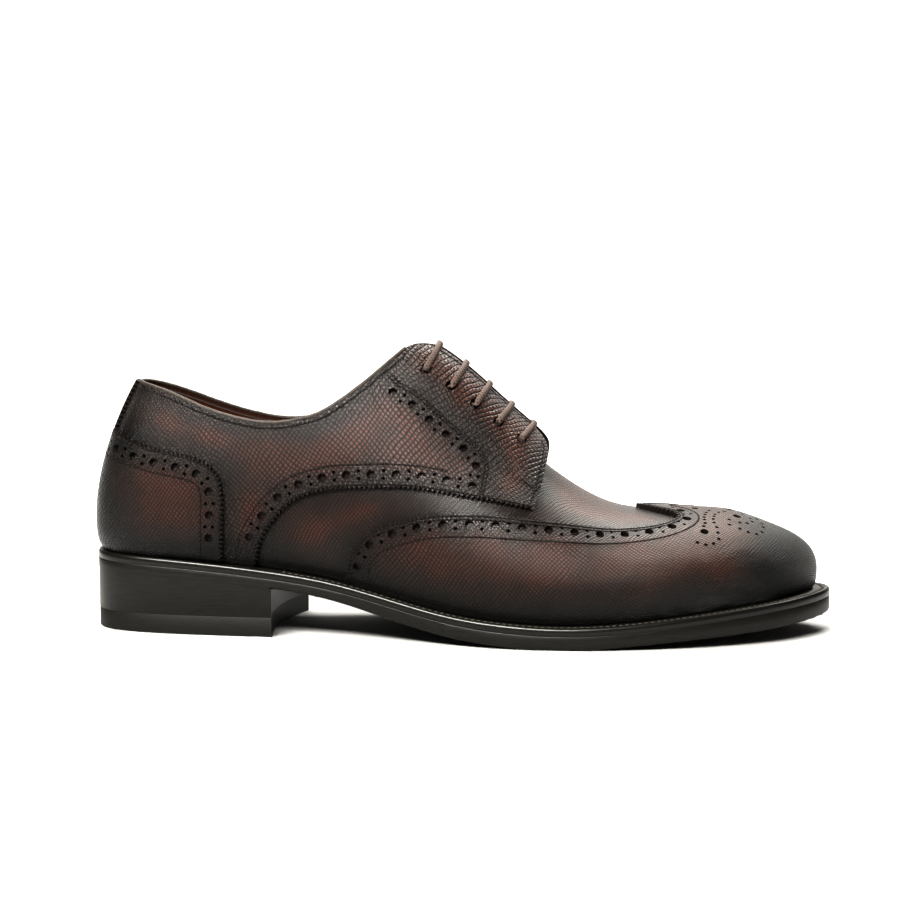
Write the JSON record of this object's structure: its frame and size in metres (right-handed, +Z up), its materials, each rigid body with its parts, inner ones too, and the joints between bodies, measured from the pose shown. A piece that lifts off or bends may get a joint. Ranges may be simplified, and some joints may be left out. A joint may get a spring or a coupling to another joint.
{
  "type": "brogue shoe",
  "caption": "Wing-tip derby dress shoe for the right foot, with a hollow lasted upper, open lacing, a welted leather sole and a stacked heel.",
  "frame": {"origin": "on the floor under the middle of the shoe's bounding box", "axes": "+X from heel to toe, +Y to the inner side of a right shoe, +Z up"},
  "size_m": [0.3088, 0.108, 0.1219],
  "materials": {
    "sole_leather": "black waxed edge, satin",
    "welt_leather": "black waxed edge, satin",
    "heel_leather": "black waxed stack, satin",
    "heel_rubber": "black, matt",
    "lining_leather": "undyed brown, matt",
    "upper_leather": "dark brown calf, burnished",
    "quarter_leather": "dark brown embossed calf, burnished",
    "counter_leather": "dark brown embossed calf, burnished",
    "wing_leather": "dark brown embossed calf, burnished",
    "tongue_leather": "brown calf",
    "lace": "taupe waxed cotton cord"
  },
  "bodies": {
    "root": {"outsole": "sole_leather", "welt": "welt_leather", "heel_stack": "heel_leather", "heel_top_lift": "heel_rubber", "insole": "lining_leather", "upper": "upper_leather", "quarter_lateral": "quarter_leather", "quarter_medial": "quarter_leather", "heel_counter": "counter_leather", "back_strip": "counter_leather", "wing_cap": "wing_leather", "tongue": "tongue_leather", "lace_bar_1": "lace", "lace_bar_2": "lace", "lace_bar_3": "lace", "lace_bar_4": "lace", "lace_bar_5": "lace"}
  },
  "joints": []
}
